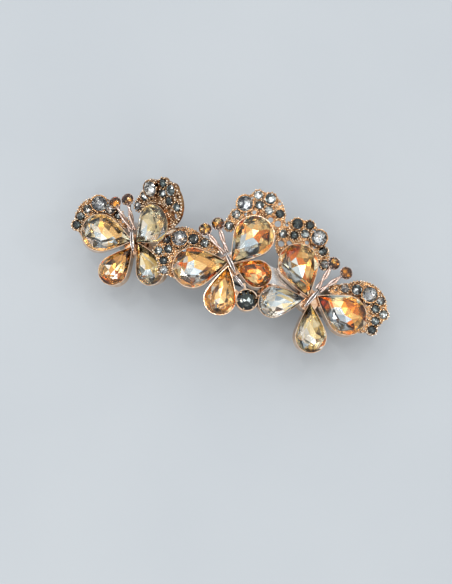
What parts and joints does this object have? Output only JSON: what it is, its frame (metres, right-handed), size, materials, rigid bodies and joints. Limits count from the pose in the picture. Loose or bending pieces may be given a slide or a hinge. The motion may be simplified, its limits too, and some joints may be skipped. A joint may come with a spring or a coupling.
{
  "type": "rhinestone hair clip",
  "caption": "Three jewelled butterflies with champagne pear stones and dark pave wing rims, on a sprung arched hair clip.",
  "frame": {"origin": "middle of the whole clip's box in X and Y, at its lowest face", "axes": "+X along the clip from its hinge to its catch, +Y towards the butterflies' heads, +Z out of the stones, away from the hair"},
  "size_m": [0.0858, 0.036, 0.0278],
  "materials": {
    "champagne_stone": "gloss",
    "black_diamond_stone": "gloss",
    "smoky_stone": "gloss",
    "topaz_stone": "gloss",
    "dark_green_stone": "gloss",
    "rose_gold_plate": "polished",
    "pale_rose_plate": "polished",
    "clip_steel": "satin"
  },
  "bodies": {
    "ornament": {"base_plate": "clip_steel", "hinge_pin": "clip_steel", "tension_bow": "clip_steel", "catch_saddle": "clip_steel", "catch_rivet": "clip_steel", "left_casting": "rose_gold_plate", "left_body": "pale_rose_plate", "left_antennae": "pale_rose_plate", "left_antenna_stones": "topaz_stone", "left_upper_left_stone": "champagne_stone", "left_upper_left_plate": "rose_gold_plate", "left_upper_left_accent_stone": "smoky_stone", "left_upper_left_pave_stones": "black_diamond_stone", "left_upper_right_stone": "champagne_stone", "left_upper_right_plate": "rose_gold_plate", "left_upper_right_accent_stone": "smoky_stone", "left_upper_right_pave_stones": "black_diamond_stone", "left_lower_left_stone": "champagne_stone", "left_lower_right_stone": "champagne_stone", "middle_casting": "rose_gold_plate", "middle_body": "pale_rose_plate", "middle_antennae": "pale_rose_plate", "middle_antenna_stones": "topaz_stone", "middle_upper_left_stone": "champagne_stone", "middle_upper_left_plate": "rose_gold_plate", "middle_upper_left_accent_stone": "smoky_stone", "middle_upper_left_pave_stones": "black_diamond_stone", "middle_upper_right_stone": "champagne_stone", "middle_upper_right_plate": "rose_gold_plate", "middle_upper_right_accent_stone": "smoky_stone", "middle_upper_right_pave_stones": "black_diamond_stone", "middle_lower_left_stone": "champagne_stone", "middle_lower_right_stone": "champagne_stone", "right_casting": "rose_gold_plate", "right_body": "pale_rose_plate", "right_antennae": "pale_rose_plate", "right_antenna_stones": "topaz_stone", "right_upper_left_stone": "champagne_stone", "right_upper_left_plate": "rose_gold_plate", "right_upper_left_accent_stone": "smoky_stone", "right_upper_left_pave_stones": "black_diamond_stone", "right_upper_right_stone": "champagne_stone", "right_upper_right_plate": "rose_gold_plate", "right_upper_right_accent_stone": "smoky_stone", "right_upper_right_pave_stones": "black_diamond_stone", "right_lower_left_stone": "champagne_stone", "right_lower_right_stone": "champagne_stone", "drop_cup": "rose_gold_plate", "drop_stone": "dark_green_stone"},
    "lever": {"clasp_lever": "clip_steel"},
    "front_prong": {"catch_prong_front": "clip_steel"},
    "back_prong": {"catch_prong_back": "clip_steel"}
  },
  "joints": [
    {"name": "lever_hinge", "type": "hinge", "parent": "ornament", "child": "lever", "pos_m": [-0.02887, -0.00249, 0.0017], "axis": [0, 1, 0], "range_deg": [0, 75]},
    {"name": "back_prong_squeeze", "type": "hinge", "parent": "ornament", "child": "back_prong", "pos_m": [0.02813, -0.00134, 0.0059], "axis": [-1, 0, 0], "range_deg": [0, 8], "stiffness_Nm_per_rad": 0.2},
    {"name": "front_prong_squeeze", "type": "hinge", "parent": "ornament", "child": "front_prong", "pos_m": [0.02813, -0.00364, 0.0059], "axis": [1, 0, 0], "range_deg": [0, 8], "stiffness_Nm_per_rad": 0.2}
  ]
}
